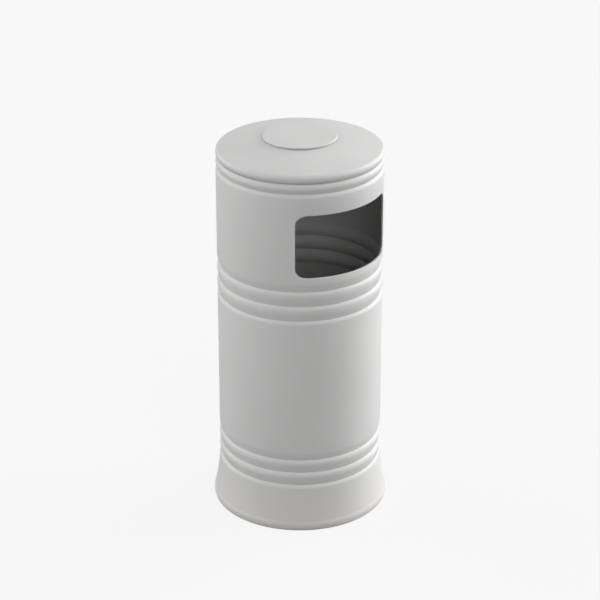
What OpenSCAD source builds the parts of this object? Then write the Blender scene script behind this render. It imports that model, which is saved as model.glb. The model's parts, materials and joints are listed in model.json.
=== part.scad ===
// Cylindrical street litter bin: a moulded shell with a front aperture and a
// hinged domed lid, and inside it a lift-out galvanised liner on a stand.
// Millimetres, +Z up, origin on the ground at the middle of the base.
// The aperture faces -Y and the lid's hinge is at the rear, +Y.

/* [Shell] */
// Outer radius of the straight part of the shell
body_r = 230; // [185:1:280]
// Wall thickness of the shell
wall = 5; // [3.5:0.5:7]
// Height of the seam between the shell and the lid
seam_z = 1036; // [860:5:1260]
// How far the skirt stands out past the straight shell, at the ground
skirt_out = 17.5; // [12:0.5:30]
// Height of the rounded lip at the foot of the skirt
skirt_lip_h = 25; // [15:1:40]
// Height where the skirt's flare runs out into the straight shell
skirt_top_z = 151; // [120:1:200]

/* [Grooved bands] */
// Depth of each groove
groove_depth = 6; // [3:0.5:8]
// Height of the short rise below each groove
groove_rise = 14; // [8:0.5:14]
// Height of the long lean above each groove
groove_lean = 24.5; // [10:0.5:24.5]
// Height of the ribs that stand inside the rim, behind the top grooves
rib_h = 8; // [5:0.5:10]
// Height of the ribs that stand inside the middle and lower bands
band_rib_h = 8; // [5:0.5:17]
// Height of the lowest groove of the lower band
low_band_z = 134.5; // [120:0.5:200]
// Spacing of the grooves in the lower band
low_pitch = 39; // [39:0.5:50]
// Spacing of the grooves in the middle band
mid_pitch = 43; // [39:0.5:52]
// Spacing of the two grooves under the lid, the seam being the upper one
top_pitch = 29; // [27:0.5:34]
// Distance from the aperture's sill down to the middle band's top groove
band_drop = 42; // [30:1:60]

/* [Aperture] */
// Width of the aperture
aperture_w = 304; // [200:2:365]
// Height of the aperture
aperture_h = 182; // [120:2:220]
// Radius of the aperture's corners
aperture_corner_r = 28; // [10:1:45]
// Distance from the seam down to the aperture's top edge
aperture_drop = 87; // [85:1:120]

/* [Lid] */
// Gap between the lid and the shell at the seam
seam_gap = 1; // [0.6:0.1:3]
// Radius of the lid's rounded edge
lid_edge_r = 10.5; // [8:0.5:13]
// Height of the lid's side, up to where its edge starts to round
lid_side_h = 14.5; // [12:0.5:18]
// Rise of the dome, from the rounded edge to the seat of the crown disc
dome_rise = 25; // [15:1:50]
// Length of the locating ring that hangs inside the shell's rim
lip_drop = 13; // [8:1:16]
// Thickness of the locating ring
lip_t = 4; // [3:0.5:6]
// Radial room between the rubber seal and the shell's rim
seal_gap = 1.6; // [1.5:0.1:3]

/* [Crown disc] */
// Radius of the crown disc
crown_r = 102; // [80:1:130]
// Thickness of the crown disc
crown_t = 4; // [3.5:0.5:8]
// Radius of the crown disc's rounded edge
crown_edge_r = 2.5; // [0.5:0.5:2.5]
// Thickness of the gasket, which is the shadow gap under the disc
gasket_t = 2; // [2:0.5:6]
// How far the gasket's edge stays inside the disc's
gasket_inset = 10; // [5:1:20]
// Radius of the circle on which the disc's studs stand
stud_circle_r = 70; // [50:1:74]

/* [Hinge] */
// Distance of the hinge axis behind the shell's outer face
hinge_out = 10.5; // [10:0.5:14]
// Distance of the hinge axis below the seam
hinge_drop = 8; // [8:0.5:12]
// Diameter of the hinge pin
pin_d = 8; // [6:0.5:9]
// Wall of the knuckles around the pin
knuckle_wall = 3; // [2.5:0.5:4]
// Width of the middle knuckle, which is the lid's
knuckle_w = 30; // [24:1:40]
// Width over the two outer knuckles, which are the shell's
hinge_w = 80; // [70:1:110]
// Thickness of the hinge's steel plates
hinge_t = 3; // [2:0.5:4]

/* [Latch] */
// Length of the cam, from the spindle's axis to its tip
cam_len = 30; // [25:1:34]
// Thickness of the cam and of the keeper
latch_t = 3; // [2:0.5:4]
// Diameter of the latch spindle
spindle_d = 8; // [6:0.5:9]
// Distance of the latch spindle below the seam
latch_drop = 65; // [64:1:68]
// Diameter of the thumb knob
knob_d = 22; // [16:1:24]

/* [Base] */
// Thickness of the steel base plate
plate_t = 4; // [3:0.5:8]
// Radius of the circle of ground anchor holes
anchor_circle_r = 150; // [100:1:150]
// Radius of each ground anchor hole
anchor_hole_r = 7; // [5:0.5:9]
// Width of the shell's in-turned foot flange
flange_w = 38; // [36:1:45]

/* [Liner] */
// Radial room between the liner's wall and the shell's wall
liner_room = 47; // [47:1:60]
// Wall thickness of the liner
liner_t = 1.5; // [1:0.1:3]
// Taper of the liner: how much narrower its bottom is, on the radius
liner_taper = 13; // [5:1:25]
// Height of the liner's bottom above the ground
liner_z = 40; // [36:1:60]
// Distance from the aperture's sill down to the liner's rim
liner_drop = 222; // [215:1:300]
// Diameter of the bail handle's rod
bail_d = 8; // [6:0.5:9]

/* [Hidden] */
$fn = 96;

// Clearances
bolt_room = 0.3;      // radial room of a bolt in its hole
running_room = 0.06;  // radial room of a turning shaft in its bore
side_room = 0.6;      // room between a turning piece and the piece beside it
bed_room = 0.12;      // room under a flat nut on a curved plate
body_room = 0.3;      // least room between pieces that move apart
bite = 1;             // how far a joined shape runs into its neighbour

// Shell
foot_r = body_r + skirt_out;
shell_top_z = seam_z - seam_gap / 2;
inner_r = body_r - wall;
rim_inner_r = inner_r - rib_h;
rim_outer_r = body_r - groove_depth;
lip_shoulder = 3;         // how far the lip stands out past the end of the flare
lip_tuck = 2.5;           // how far the lip rounds in again at the ground
skirt_flare = skirt_out - lip_shoulder;
skirt_curve = 1.84;
rise_curve = 3;          // power of the curve below a groove
lean_curve = 1.25;       // power of the curve above a groove

// Aperture and the bands that are placed from it
aperture_top_z = seam_z - aperture_drop;
aperture_z = aperture_top_z - aperture_h;
mid_band_top_z = aperture_z - band_drop;
top_groove_z = seam_z - top_pitch;

// Lid
lid_z = seam_z + seam_gap / 2;
edge_z = lid_z + lid_side_h;
dome_tilt = 78;
dome_start_r = body_r - lid_edge_r + lid_edge_r * cos(dome_tilt);
dome_start_z = edge_z + lid_edge_r * sin(dome_tilt);
seat_z = dome_start_z + dome_rise;
seat_r = crown_r - 2;
dome_bulge = 0.2;
lid_side_inner_r = body_r - wall;
lip_r = rim_inner_r - 5;
lip_z = seam_z - lip_drop;
crown_z = seat_z + gasket_t;

// Hinge
hinge_y = body_r + hinge_out;
hinge_z = seam_z - hinge_drop;
knuckle_r = pin_d / 2 + knuckle_wall;
bracket_angle = 11.2;
bracket_z = seam_z - 95;
bracket_top_z = hinge_z - knuckle_r - 1;
hinge_screw_angle = 7.5;
hinge_screw_z = [seam_z - 82, seam_z - 55];
hinge_screw_d = 6;
clip_r = pin_d / 2 + 3;
clip_t = 1.5;
leaf_angle = asin(knuckle_w / 2 / (body_r + hinge_t));
leaf_screw_angle = 2.3;
leaf_screw_d = 5;
leaf_screw_z = edge_z - 5.2;
leaf_z = lid_z + 3;
leaf_top_z = leaf_screw_z + 5;
leaf_bearing_h = 4.5;                   // upright part of the lid's side, which the leaf bears on
nut_pocket = 11;                        // depth of the pockets for the leaf's nuts, in the lid

// Latch
latch_z = seam_z - latch_drop;
cam_y = -(rim_inner_r - 14);            // outer face of the cam
cam_w = 14;
keeper_y = cam_y + latch_t + 2;         // outer face of the keeper's strip
keeper_x = knob_d / 2 + 3;
keeper_w = 24;
foot_z = latch_z - cam_w / 2 - 7;
foot_out = keeper_y - cam_y + 1;
pad_y = -(inner_r - 11);                // face of the pad that the latch bracket sits on
pad_w = 64;
pad_h = 40;
keeper_screw_d = 5;
keeper_screw_z = [lip_z + 7, lip_z + 19];
latch_screw_d = 3.5;
bracket_t = 3;
spindle_head_r = 7;
spindle_head_t = 4;
knob_t = 8;

// Base
flange_z = plate_t;
flange_t = 5;
foot_inner_r = foot_r - wall;
flange_r = foot_inner_r - flange_w;
plate_r = foot_inner_r - 3.5;
base_screw_d = 8;
base_screw_r = flange_r + flange_w / 2 - 2;
base_screw_count = 6;
anchor_count = 4;
drain_r = 15;

// Liner
liner_r = inner_r - liner_room;
liner_foot_r = liner_r - liner_taper;
liner_top_z = aperture_z - liner_drop;
liner_straight = 65;
curl_r = 3.5;
curl_x = liner_r + curl_r - liner_t;
ear_t = 3;
ear_x = curl_x + curl_r + 0.5;
ear_w = 40;
ear_h = 20;
bail_z = liner_top_z + bail_d / 2 + 5;
bail_r = liner_r - 6;
grip_r = bail_d / 2 + 4;
grip_angle = 36;
rivet_d = 5;
rivet_z = liner_top_z - 40;
rivet_y = 10;

// Stand under the liner
stand_t = 3;
stand_w = 50;
stand_r = liner_foot_r + 6;
pad_t = 3;
stand_z = liner_z - body_room - pad_t - stand_t;
pad_circle_r = stand_r - stand_w / 2;
stand_tab = 26;
stand_stud_d = 6;
stand_stud_r = stand_r + stand_tab / 2 + 1;
stand_leg_w = 30;
stand_leg_count = 3;

shell_grey = [0.77, 0.77, 0.76];
zinc = [0.68, 0.70, 0.72];
steel = [0.60, 0.61, 0.63];
black = [0.10, 0.10, 0.11];

// ---- profiles -------------------------------------------------------------

// Radius of the shell's outside at a height, without the grooves
function skirt_radius(z) = z >= skirt_top_z ? body_r
    : body_r + skirt_flare * pow((skirt_top_z - z) / (skirt_top_z - skirt_lip_h), skirt_curve);

// The short rise below a groove, from the bead's face up to the groove
function groove_below(z, first = 0) = [for (t = [first:0.2:1]) let (h = z - groove_rise * (1 - t))
    [skirt_radius(h) - groove_depth * pow(t, rise_curve), h]];

// The long lean above a groove, from the groove up to the bead's face
function groove_above(z, lean, first = 0.8) = [for (t = [first:-0.2:0]) let (h = z + lean * (1 - t))
    [skirt_radius(h) - groove_depth * pow(max(t, 0), lean_curve), h]];

// One groove between two convex beads, from below it to above it
function groove(z, lean) = concat(groove_below(z), groove_above(z, lean));

// How far a rib with a round section stands out of the wall, u running from edge (-1) to edge (1)
function rib_out(u, pitch, out) = let (r = (out * out + pitch * pitch / 4) / (2 * out))
    sqrt(r * r - u * u * pitch * pitch / 4) - r + out;

// One round rib on the inside of the wall, from its top to its bottom
function rib(z, pitch, out) = [for (u = [1:-0.2:-1]) let (h = z + u * pitch / 2)
    [skirt_radius(h) - wall - max(rib_out(u, pitch, out), 0), h]];

// The rounded lip at the ground, from the ground up to the end of the flare
function lip_outside() = concat(
    [for (t = [1:-0.25:0.25]) [foot_r - lip_tuck * pow(t, 2.5), skirt_lip_h * (1 - t) / 2]],
    [for (t = [0:0.25:1]) [foot_r - lip_shoulder * pow(t, 2), skirt_lip_h * (1 + t) / 2]]);

function low_bands() = concat(groove(low_band_z, groove_lean),
    groove(low_band_z + low_pitch, groove_lean),
    groove(low_band_z + 2 * low_pitch, groove_lean));

function mid_bands() = concat(groove(mid_band_top_z - 2 * mid_pitch, groove_lean),
    groove(mid_band_top_z - mid_pitch, groove_lean),
    groove(mid_band_top_z, groove_lean));

flare_steps = 8;
flare_from_z = skirt_lip_h + 4;
flare_to_z = low_band_z - groove_rise;

function shell_outside() = concat(
    lip_outside(),
    [for (i = [0:flare_steps - 1]) let (h = flare_from_z + (flare_to_z - flare_from_z) * i / flare_steps)
        [skirt_radius(h), h]],
    low_bands(),
    mid_bands(),
    groove(top_groove_z, top_pitch - groove_rise),
    groove_below(shell_top_z, 0.2));

function shell_inside() = concat(
    [for (u = [0:-0.2:-1]) [inner_r - rib_h * (1 - u * u), shell_top_z + u * (top_pitch / 2 - seam_gap / 2)]],
    rib(top_groove_z, top_pitch - 0.2, rib_h),
    rib(mid_band_top_z, mid_pitch - 0.2, band_rib_h),
    rib(mid_band_top_z - mid_pitch, mid_pitch - 0.2, band_rib_h),
    rib(mid_band_top_z - 2 * mid_pitch, mid_pitch - 0.2, band_rib_h),
    rib(low_band_z + 2 * low_pitch, low_pitch - 0.2, band_rib_h),
    rib(low_band_z + low_pitch, low_pitch - 0.2, band_rib_h),
    rib(low_band_z, low_pitch - 0.2, band_rib_h),
    [for (f = [0.8, 0.55, 0.3, 0]) let (h = skirt_lip_h + f * (low_band_z - low_pitch / 2 - skirt_lip_h))
        [skirt_radius(h) - wall, h]],
    [[foot_inner_r - 1.5, flange_z + flange_t],
     [flange_r, flange_z + flange_t],
     [flange_r, flange_z],
     [foot_inner_r, flange_z],
     [foot_inner_r, 0]]);

function dome(drop) = [for (t = [0:0.1:1])
    [dome_start_r + (seat_r - dome_start_r) * t,
     dome_start_z + dome_rise * (t + dome_bulge * t * (1 - t)) - drop]];

function reversed(list) = [for (i = [len(list) - 1:-1:0]) list[i]];

function lid_outside() = concat(
    groove_above(lid_z, lid_side_h - leaf_bearing_h, 1),
    [for (a = [0:13:dome_tilt - 1])
        [body_r - lid_edge_r * (1 - cos(a)), edge_z + lid_edge_r * sin(a)]],
    dome(0),
    [[0, seat_z]]);

function lid_inside() = concat(
    [[0, seat_z - wall]],
    reversed(dome(wall)),
    [[lid_side_inner_r, edge_z - 2], [rim_inner_r + 2, lid_z + 4], [rim_inner_r + 1, lid_z]]);

// ---- helpers --------------------------------------------------------------

// Puts a shape on the shell's rear at an angle off +Y, its own +Z pointing outwards
module at_rear(angle, r, z) {
    rotate([0, 0, angle]) translate([0, r, z]) rotate([-90, 0, 0]) children();
}

// Puts a shape along the front-to-rear direction, its own +Z pointing to the rear
module along_y(x, y, z) {
    translate([x, y, z]) rotate([-90, 0, 0]) children();
}

// Puts a shape along the hinge or bail axis, its own +Z pointing to +X
module along_x(x, y, z) {
    translate([x, y, z]) rotate([0, 90, 0]) children();
}

module around(count, r, z, first = 0) {
    for (i = [0:count - 1])
        rotate([0, 0, first + i * 360 / count]) translate([r, 0, z]) children();
}

module tube(outer, inner, h) {
    difference() {
        cylinder(r = outer, h = h);
        translate([0, 0, -bite]) cylinder(r = inner, h = h + 2 * bite);
    }
}

// A part of a ring about the bin's axis, centred on +Y
module rear_arc(outer, inner, z, h, half_angle) {
    translate([0, 0, z]) rotate([0, 0, 90 - half_angle])
        rotate_extrude(angle = 2 * half_angle, $fn = 180)
            translate([inner, 0]) square([outer - inner, h]);
}

// A round-headed screw: its head stands on z = 0 and its shank goes down
module button_screw(d, length) {
    rotate_extrude($fn = 48) polygon([[0, -length], [d / 2, -length], [d / 2, 0], [0.9 * d, 0],
        [0.9 * d, 0.25 * d], [0.65 * d, 0.5 * d], [0.25 * d, 0.5 * d], [0.25 * d, 0.25 * d],
        [0, 0.25 * d]]);
}

// A countersunk screw: its head is flush with z = 0 and its shank goes down
module flush_screw(d, length) {
    rotate_extrude($fn = 48) polygon([[0, -length], [d / 2, -length], [d / 2, -0.45 * d],
        [0.9 * d, -0.05 * d], [0.9 * d, 0], [0.3 * d, 0], [0.3 * d, -0.25 * d], [0, -0.25 * d]]);
}

module flush_hole(d, length) {
    room = bolt_room;
    translate([0, 0, -length - bite]) cylinder(r = d / 2 + room, h = length + 2 * bite, $fn = 48);
    rotate_extrude($fn = 48) polygon([[0, -0.45 * d], [d / 2 + room, -0.45 * d],
        [0.9 * d + room, -0.05 * d], [0.9 * d + room, bite], [0, bite]]);
}

module hex_nut(d) {
    difference() {
        cylinder(r = d, h = 0.8 * d, $fn = 6);
        translate([0, 0, -bite]) cylinder(r = d / 2, h = 2 * d, $fn = 48);
    }
}

// ---- shell and base -------------------------------------------------------

module aperture_cut() {
    inset = aperture_corner_r;
    translate([-aperture_w / 2, -foot_r, aperture_z]) rotate([-90, 0, 0]) mirror([0, 1, 0])
        linear_extrude(height = foot_r) union() {
            translate([inset, 0]) square([aperture_w - 2 * inset, aperture_h]);
            translate([0, inset]) square([aperture_w, aperture_h - 2 * inset]);
            for (x = [inset, aperture_w - inset], y = [inset, aperture_h - inset])
                translate([x, y]) circle(r = inset);
        }
}

// Thick pad inside the front wall, which carries the latch
module latch_pad() {
    intersection() {
        translate([-pad_w / 2, -(inner_r + bite), latch_z - pad_h / 2])
            cube([pad_w, pad_y + inner_r + bite, pad_h]);
        translate([0, 0, latch_z - pad_h]) cylinder(r = inner_r + bite, h = 2 * pad_h, $fn = 180);
    }
}

module latch_screw_places() {
    for (x = [-1, 1], z = [-1, 1])
        along_y(x * (pad_w / 2 - 8), pad_y + bracket_t, latch_z + z * (pad_h / 2 - 7)) children();
}

module hinge_screw_places() {
    for (a = [-hinge_screw_angle, hinge_screw_angle], z = hinge_screw_z)
        at_rear(a, body_r + hinge_t, z) children();
}

module base_screw_places() {
    around(base_screw_count, base_screw_r, 0, 30) rotate([180, 0, 0]) children();
}

module body_shell() {
    color(shell_grey) difference() {
        union() {
            rotate_extrude($fn = 180) polygon(concat(shell_outside(), shell_inside()));
            latch_pad();
        }
        aperture_cut();
        base_screw_places() translate([0, 0, -(flange_z + flange_t) - bite])
            cylinder(r = base_screw_d / 2 + bolt_room, h = flange_z + flange_t + bite, $fn = 48);
        hinge_screw_places() translate([0, 0, -(hinge_t + wall + bite)])
            cylinder(r = hinge_screw_d / 2 + bolt_room, h = hinge_t + wall + 2 * bite, $fn = 48);
        along_y(0, pad_y - spindle_head_t - body_room, latch_z)
            cylinder(r = spindle_head_r + side_room, h = spindle_head_t + 2 * bite, $fn = 48);
        latch_screw_places() translate([0, 0, -(bracket_t + 8)])
            cylinder(r = latch_screw_d / 2, h = 9 + bracket_t, $fn = 48);
    }
}

module base_plate() {
    color(zinc) {
        difference() {
            cylinder(r = plate_r, h = plate_t, $fn = 180);
            translate([0, 0, -bite]) cylinder(r = drain_r, h = plate_t + 2 * bite);
            around(anchor_count, anchor_circle_r, -bite, 45)
                cylinder(r = anchor_hole_r, h = plate_t + 2 * bite, $fn = 48);
            base_screw_places() flush_hole(base_screw_d, plate_t);
        }
        around(stand_leg_count, stand_stud_r, plate_t - bite, 90)
            cylinder(r = stand_stud_d / 2, h = stand_t + 0.8 * stand_stud_d + 3 + bite, $fn = 48);
    }
}

module base_screws() {
    color(steel) base_screw_places()
        flush_screw(base_screw_d, flange_z + flange_t + 0.8 * base_screw_d + 2);
}

module base_nuts() {
    color(steel) around(base_screw_count, base_screw_r, flange_z + flange_t, 30)
        hex_nut(base_screw_d);
}

module liner_stand() {
    color(zinc) {
        difference() {
            translate([0, 0, stand_z]) tube(stand_r, stand_r - stand_w, stand_t, $fn = 180);
            around(2 * stand_leg_count, pad_circle_r, stand_z - bite, 30)
                cylinder(r = 3, h = stand_t + 2 * bite, $fn = 48);
        }
        difference() {
            around(stand_leg_count, stand_r - stand_t, 0, 90) {
                translate([0, -stand_leg_w / 2, plate_t])
                    cube([stand_t, stand_leg_w, stand_z + bite - plate_t]);
                translate([0, -stand_leg_w / 2, plate_t])
                    cube([stand_tab + stand_t, stand_leg_w, stand_t]);
            }
            around(stand_leg_count, stand_stud_r, plate_t - bite, 90)
                cylinder(r = stand_stud_d / 2 + bolt_room, h = stand_t + 2 * bite, $fn = 48);
        }
    }
}

module stand_nuts() {
    color(steel) around(stand_leg_count, stand_stud_r, plate_t + stand_t, 90)
        hex_nut(stand_stud_d);
}

module liner_pads() {
    color(black) around(2 * stand_leg_count, pad_circle_r, stand_z + stand_t, 30) {
        cylinder(r = 10, h = pad_t, $fn = 48);
        translate([0, 0, -stand_t]) cylinder(r = 3, h = stand_t + bite, $fn = 48);
        translate([0, 0, -stand_t - 2]) cylinder(r = 5, h = 2, $fn = 48);
    }
}

// ---- hinge ----------------------------------------------------------------

module knuckle(x, w, bore_room) {
    along_x(x, hinge_y, hinge_z) tube(knuckle_r, pin_d / 2 + bore_room, w);
}

module hinge_bracket() {
    inner_x = knuckle_w / 2 + side_room;
    knuckle_len = hinge_w / 2 - inner_x;
    color(steel) difference() {
        union() {
            rear_arc(body_r + hinge_t, body_r, bracket_z, bracket_top_z - bracket_z, bracket_angle);
            for (x = [inner_x, -hinge_w / 2]) {
                translate([x, body_r, bracket_top_z - 10])
                    cube([knuckle_len, hinge_out, 9]);
                translate([x, hinge_y - knuckle_r, bracket_top_z - 10])
                    cube([knuckle_len, knuckle_r, hinge_z - bracket_top_z + 10]);
                knuckle(x, knuckle_len, 0);
            }
        }
        hinge_screw_places() translate([0, 0, -hinge_t - bite])
            cylinder(r = hinge_screw_d / 2 + bolt_room, h = hinge_t + 2 * bite, $fn = 48);
        along_x(-hinge_w / 2 - bite, hinge_y, hinge_z)
            cylinder(r = pin_d / 2, h = hinge_w + 2 * bite);
        translate([0, 0, bracket_z - bite])
            cylinder(r = body_r, h = seam_z, $fn = 180);
    }
}

module hinge_backing_plate() {
    color(steel) difference() {
        rear_arc(inner_r, inner_r - hinge_t, bracket_z, hinge_screw_z[1] + 10 - bracket_z, bracket_angle);
        hinge_screw_places() translate([0, 0, -(wall + 3 * hinge_t)])
            cylinder(r = hinge_screw_d / 2 + bolt_room, h = wall + 3 * hinge_t, $fn = 48);
    }
}

module hinge_screws() {
    color(steel) hinge_screw_places()
        button_screw(hinge_screw_d, wall + 2 * hinge_t + 0.8 * hinge_screw_d + 2);
}

module hinge_nuts() {
    color(steel) hinge_screw_places()
        translate([0, 0, -(wall + 2 * hinge_t + 0.8 * hinge_screw_d + bed_room)]) hex_nut(hinge_screw_d);
}

pin_len = hinge_w + 2 * clip_t + 4;

module hinge_pin() {
    color(steel) difference() {
        along_x(-pin_len / 2, hinge_y, hinge_z) cylinder(r = pin_d / 2, h = pin_len);
        for (x = [-hinge_w / 2 - clip_t, hinge_w / 2])
            along_x(x, hinge_y, hinge_z) tube(pin_d, pin_d / 2 - 1, clip_t);
    }
}

module hinge_clips() {
    color(steel) for (x = [-hinge_w / 2 - clip_t, hinge_w / 2])
        along_x(x, hinge_y, hinge_z) tube(clip_r, pin_d / 2 - 1, clip_t);
}

// ---- latch ----------------------------------------------------------------

module latch_bracket() {
    boss_len = cam_y - side_room - (pad_y + bracket_t);
    color(steel) difference() {
        union() {
            translate([-pad_w / 2, pad_y, latch_z - pad_h / 2]) cube([pad_w, bracket_t, pad_h]);
            along_y(0, pad_y + bite, latch_z)
                cylinder(r = spindle_d / 2 + 5, h = bracket_t - bite + boss_len);
        }
        along_y(0, pad_y - bite, latch_z)
            cylinder(r = spindle_d / 2 + running_room, h = 2 * bite + bracket_t + boss_len);
        latch_screw_places() flush_hole(latch_screw_d, bracket_t);
    }
}

module latch_screws() {
    color(steel) latch_screw_places() flush_screw(latch_screw_d, bracket_t + 7);
}

module latch_spindle() {
    end_y = cam_y + latch_t + knob_t + 3;
    color(steel) {
        along_y(0, pad_y - spindle_head_t, latch_z)
            cylinder(r = spindle_head_r, h = spindle_head_t - body_room);
        along_y(0, pad_y - spindle_head_t, latch_z)
            cylinder(r = spindle_d / 2, h = end_y - 6 - (pad_y - spindle_head_t));
        along_y(0, end_y - 7, latch_z) cylinder(r = 2.5, h = 7, $fn = 48);
    }
}

module latch_cam() {
    color(zinc) along_y(0, cam_y, latch_z) difference() {
        union() {
            cylinder(r = cam_w / 2 + 1, h = latch_t);
            translate([-cam_w / 2, -(cam_len - cam_w / 2), 0])
                cube([cam_w, cam_len - cam_w / 2, latch_t]);
            translate([0, -(cam_len - cam_w / 2), 0]) cylinder(r = cam_w / 2, h = latch_t);
        }
        translate([0, 0, -bite]) cylinder(r = spindle_d / 2, h = latch_t + 2 * bite);
    }
}

module latch_knob() {
    knob_y = cam_y + latch_t;
    finger = 2.2;
    color(black) along_y(0, knob_y, latch_z) difference() {
        cylinder(r = knob_d / 2, h = knob_t);
        translate([0, 0, -bite]) cylinder(r = spindle_d / 2, h = knob_t - 2);
        translate([0, 0, -bite]) cylinder(r = 2.5, h = knob_t + 2 * bite, $fn = 48);
        for (a = [0:45:315])
            rotate([0, 0, a]) translate([knob_d / 2 + finger / 2, 0, -bite])
                cylinder(r = finger, h = knob_t + 2 * bite, $fn = 48);
    }
}

module latch_nut() {
    color(steel) along_y(0, cam_y + latch_t + knob_t, latch_z) difference() {
        cylinder(r = 4.5, h = 3, $fn = 6);
        translate([0, 0, -bite]) cylinder(r = 2.5, h = 3 + 2 * bite, $fn = 48);
    }
}

// ---- lid ------------------------------------------------------------------

module leaf_screw_places() {
    for (a = [-leaf_screw_angle, leaf_screw_angle])
        at_rear(a, body_r + hinge_t, leaf_screw_z) children();
}

module keeper_screw_places() {
    for (z = keeper_screw_z)
        translate([keeper_x + keeper_w / 2, keeper_y + latch_t, z]) rotate([-90, 0, 0]) children();
}

// Block behind the locating ring, which carries the keeper
module keeper_pad() {
    intersection() {
        translate([keeper_x - 1, -lip_r, lip_z]) cube([keeper_w + 2, lip_r + keeper_y, 33]);
        translate([0, 0, lip_z]) cylinder(r = lip_r - bite, h = 60, $fn = 180);
    }
}

module crown_stud_places(z) {
    around(4, stud_circle_r, z, 45) children();
}

module lid() {
    color(shell_grey) difference() {
        union() {
            rotate_extrude($fn = 180) polygon(concat(lid_outside(), lid_inside()));
            translate([0, 0, lip_z]) tube(lip_r, lip_r - lip_t, dome_start_z - wall - lip_z + 3, $fn = 180);
            keeper_pad();
        }
        leaf_screw_places() translate([0, 0, -(hinge_t + wall + 4)])
            cylinder(r = leaf_screw_d / 2 + bolt_room, h = hinge_t + wall + 5, $fn = 48);
        leaf_screw_places() translate([0, 0, -(hinge_t + wall + bed_room + nut_pocket)])
            cylinder(r = leaf_screw_d + 1.5, h = nut_pocket, $fn = 48);
        keeper_screw_places() translate([0, 0, -(latch_t + 11)])
            cylinder(r = keeper_screw_d / 2, h = latch_t + 12, $fn = 48);
        crown_stud_places(seat_z - wall - bite)
            cylinder(r = 3 + bolt_room, h = wall + 2 * bite, $fn = 48);
    }
}

module rim_seal() {
    color(black) translate([0, 0, lip_z + 4])
        tube(rim_inner_r - seal_gap, lip_r, 8, $fn = 180);
}

module lid_hinge_leaf() {
    color(steel) difference() {
        union() {
            rear_arc(body_r + hinge_t, body_r, leaf_z, leaf_top_z - leaf_z, leaf_angle);
            translate([-knuckle_w / 2, body_r + 0.3, hinge_z])
                cube([knuckle_w, hinge_t + 2, leaf_z + 1.5 - hinge_z]);
            knuckle(-knuckle_w / 2, knuckle_w, running_room);
        }
        along_x(-knuckle_w, hinge_y, hinge_z)
            cylinder(r = pin_d / 2 + running_room, h = 2 * knuckle_w);
        leaf_screw_places() translate([0, 0, -hinge_t - bite])
            cylinder(r = leaf_screw_d / 2 + bolt_room, h = hinge_t + 2 * bite, $fn = 48);
    }
}

module leaf_screws() {
    color(steel) leaf_screw_places()
        button_screw(leaf_screw_d, wall + hinge_t + 0.8 * leaf_screw_d + 1.5);
}

module leaf_nuts() {
    color(steel) leaf_screw_places()
        translate([0, 0, -(wall + hinge_t + 0.8 * leaf_screw_d + 2 * bed_room)]) hex_nut(leaf_screw_d);
}

module lid_keeper() {
    color(zinc) difference() {
        union() {
            translate([keeper_x, keeper_y, foot_z])
                cube([keeper_w, latch_t, keeper_screw_z[1] + 8 - foot_z]);
            translate([keeper_x, keeper_y - foot_out, foot_z])
                cube([keeper_w, foot_out + latch_t, latch_t]);
        }
        keeper_screw_places() translate([0, 0, -latch_t - bite])
            cylinder(r = keeper_screw_d / 2 + bolt_room, h = latch_t + 2 * bite, $fn = 48);
    }
}

module keeper_screws() {
    color(steel) keeper_screw_places() button_screw(keeper_screw_d, latch_t + 9);
}

// ---- crown disc -----------------------------------------------------------

module crown_disc() {
    e = crown_edge_r;
    color(shell_grey) translate([0, 0, crown_z]) rotate_extrude($fn = 180) polygon(concat(
        [[0, 0], [crown_r - e / 4, 0], [crown_r, e / 4]],
        [for (a = [0:15:90]) [crown_r - e + e * cos(a), crown_t - e + e * sin(a)]],
        [[0, crown_t]]));
}

module crown_gasket() {
    color(black) difference() {
        translate([0, 0, seat_z]) cylinder(r = crown_r - gasket_inset, h = gasket_t, $fn = 180);
        crown_stud_places(seat_z - bite) cylinder(r = 3 + bolt_room, h = gasket_t + 2 * bite, $fn = 48);
    }
}

module crown_studs() {
    stud_len = gasket_t + wall + 10;
    color(steel) crown_stud_places(crown_z - stud_len) cylinder(r = 3, h = stud_len, $fn = 48);
}

module crown_washers() {
    color(steel) crown_stud_places(seat_z - wall - 1.6) tube(7, 3, 1.6, $fn = 48);
}

module crown_nuts() {
    color(steel) crown_stud_places(seat_z - wall - 1.6 - 4.8) hex_nut(6);
}

// ---- liner and bail -------------------------------------------------------

module liner() {
    turn_z = liner_top_z - liner_straight;
    color(zinc) difference() {
        union() {
            rotate_extrude($fn = 180) polygon([[0, liner_z], [liner_foot_r, liner_z], [liner_r, turn_z],
                [liner_r, liner_top_z - curl_r], [liner_r - liner_t, liner_top_z - curl_r],
                [liner_r - liner_t, turn_z], [liner_foot_r - liner_t, liner_z + liner_t],
                [0, liner_z + liner_t]]);
            translate([0, 0, liner_top_z - curl_r]) rotate_extrude($fn = 180)
                translate([curl_x, 0]) circle(r = curl_r, $fn = 32);
        }
        translate([0, 0, liner_z - bite]) cylinder(r = 6, h = 4, $fn = 48);
        around(4, liner_foot_r / 2, liner_z - bite) cylinder(r = 6, h = 4, $fn = 48);
        ear_sides() for (y = [-rivet_y, rivet_y])
            along_x(liner_r - 10, y, rivet_z) cylinder(r = rivet_d / 2, h = 20, $fn = 48);
    }
}

module ear_sides() {
    for (a = [0, 180]) rotate([0, 0, a]) children();
}

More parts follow.
